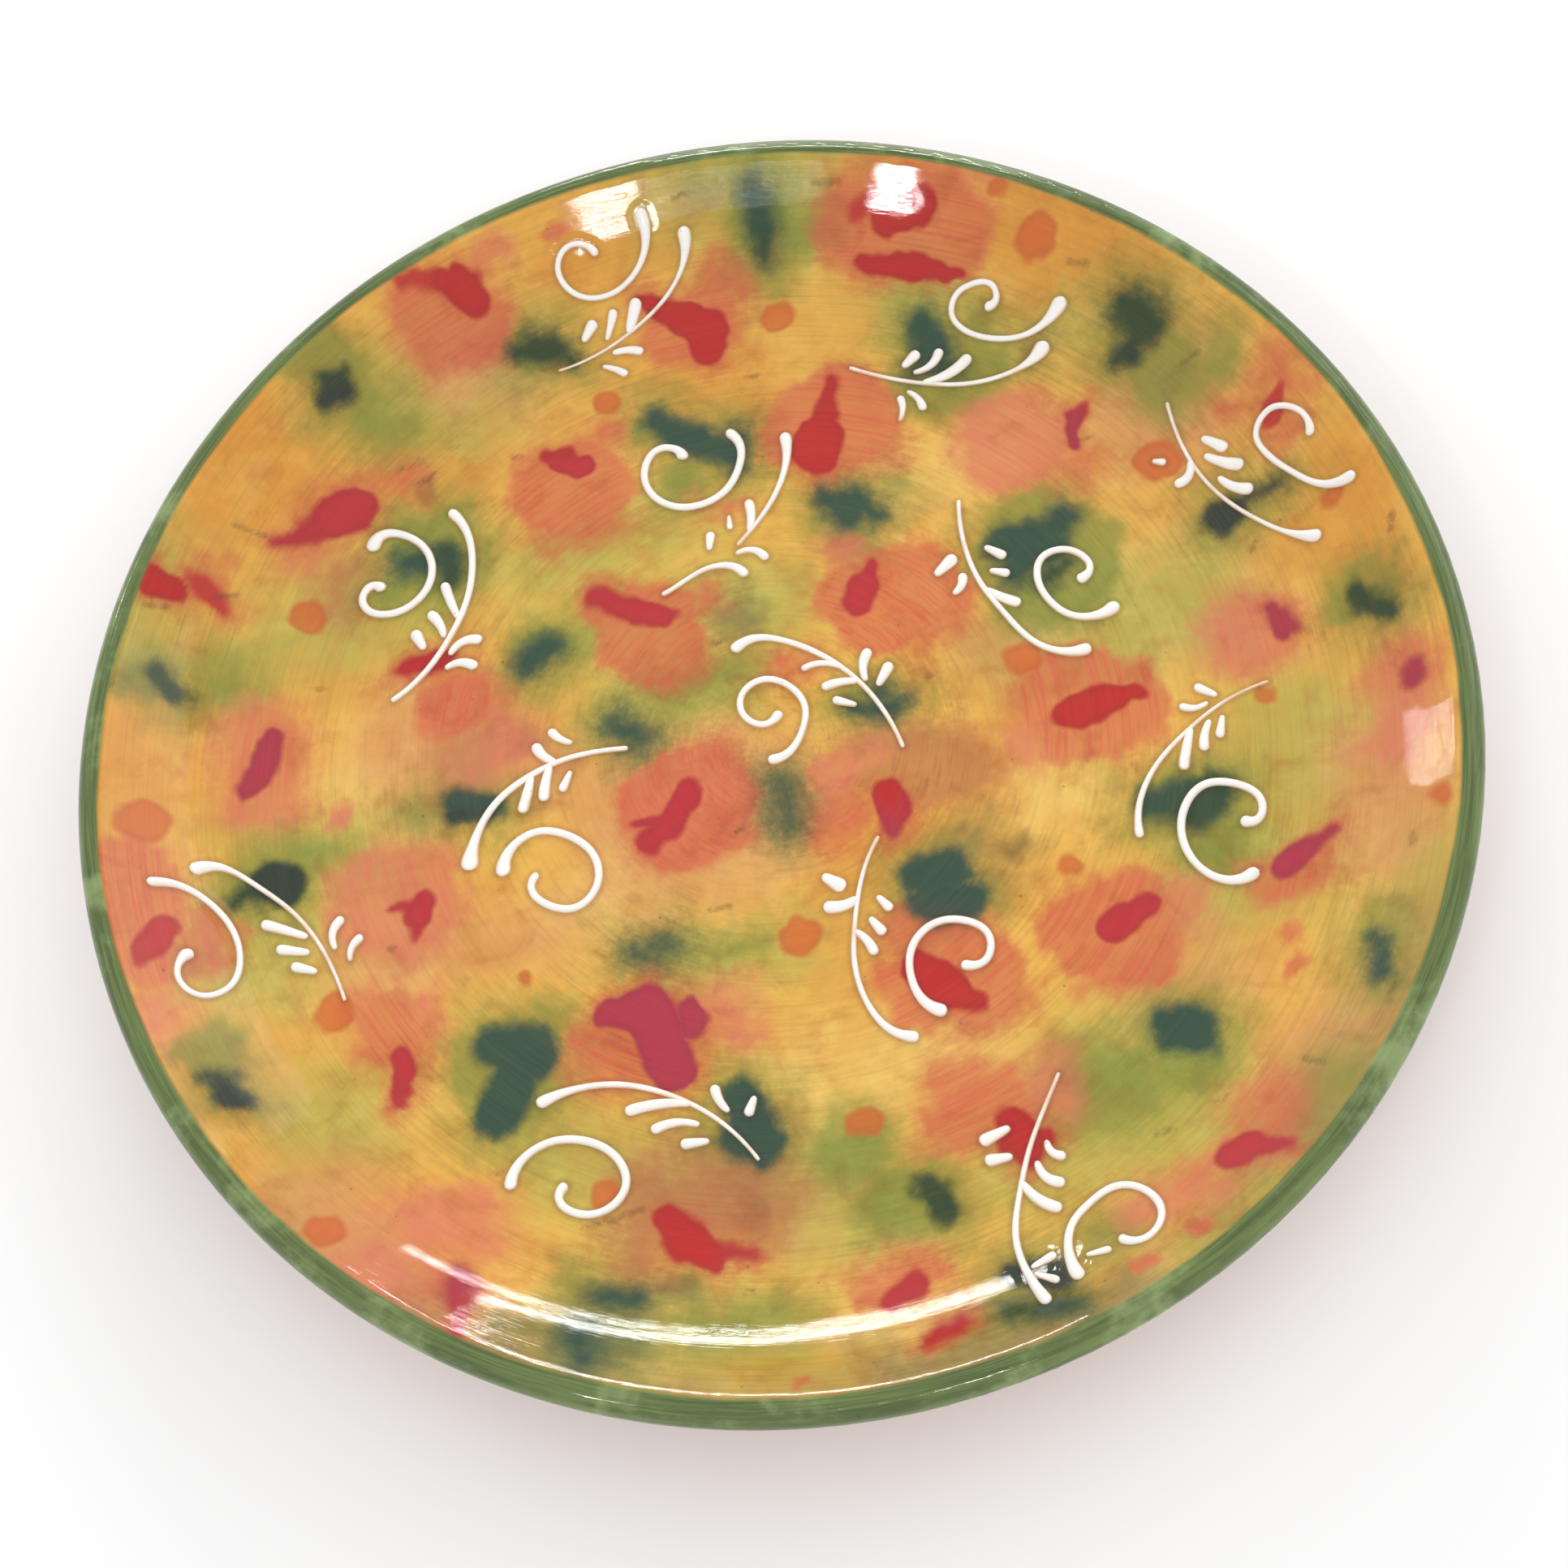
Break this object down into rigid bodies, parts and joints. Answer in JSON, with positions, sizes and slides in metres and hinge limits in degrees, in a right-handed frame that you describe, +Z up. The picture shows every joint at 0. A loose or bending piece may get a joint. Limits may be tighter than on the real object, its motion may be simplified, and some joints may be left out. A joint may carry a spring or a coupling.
{
  "type": "painted ceramic plate",
  "caption": "Round shallow ceramic platter with sloping wall, rounded lip, foot ring, glaze coats and raised slip scroll strokes on its face.",
  "frame": {"origin": "middle of the face that the foot ring rests on", "axes": "+Z up out of the dish along the plate's axis, +Y away from the side nearest the viewer, +X to the viewer's right"},
  "size_m": [0.32, 0.32, 0.034],
  "materials": {
    "terracotta": "bare fired earthenware",
    "painted_glaze": "soft colour washes under clear gloss glaze",
    "green_glaze": "sage green gloss glaze, darker where it pools",
    "honey_glaze": "clear honey glaze over terracotta",
    "white_slip": "raised white slip under clear glaze"
  },
  "bodies": {
    "root": {"back_glaze": "honey_glaze", "clay_body": "terracotta", "face_glaze": "painted_glaze", "foot_well_glaze": "honey_glaze", "rim_glaze": "green_glaze", "scroll_01_curl": "white_slip", "scroll_01_leaves": "white_slip", "scroll_01_stem": "white_slip", "scroll_02_curl": "white_slip", "scroll_02_leaves": "white_slip", "scroll_02_stem": "white_slip", "scroll_03_curl": "white_slip", "scroll_03_leaves": "white_slip", "scroll_03_stem": "white_slip", "scroll_04_curl": "white_slip", "scroll_04_leaves": "white_slip", "scroll_04_stem": "white_slip", "scroll_04_tail": "white_slip", "scroll_05_curl": "white_slip", "scroll_05_leaves": "white_slip", "scroll_05_stem": "white_slip", "scroll_06_curl": "white_slip", "scroll_06_leaves": "white_slip", "scroll_06_stem": "white_slip", "scroll_07_curl": "white_slip", "scroll_07_leaves": "white_slip", "scroll_07_stem": "white_slip", "scroll_08_curl": "white_slip", "scroll_08_leaves": "white_slip", "scroll_08_stem": "white_slip", "scroll_09_curl": "white_slip", "scroll_09_leaves": "white_slip", "scroll_09_stem": "white_slip", "scroll_10_curl": "white_slip", "scroll_10_leaves": "white_slip", "scroll_10_stem": "white_slip", "scroll_11_curl": "white_slip", "scroll_11_leaves": "white_slip", "scroll_11_stem": "white_slip", "scroll_12_curl": "white_slip", "scroll_12_leaves": "white_slip", "scroll_12_stem": "white_slip", "scroll_13_curl": "white_slip", "scroll_13_leaves": "white_slip", "scroll_13_stem": "white_slip"}
  },
  "joints": []
}
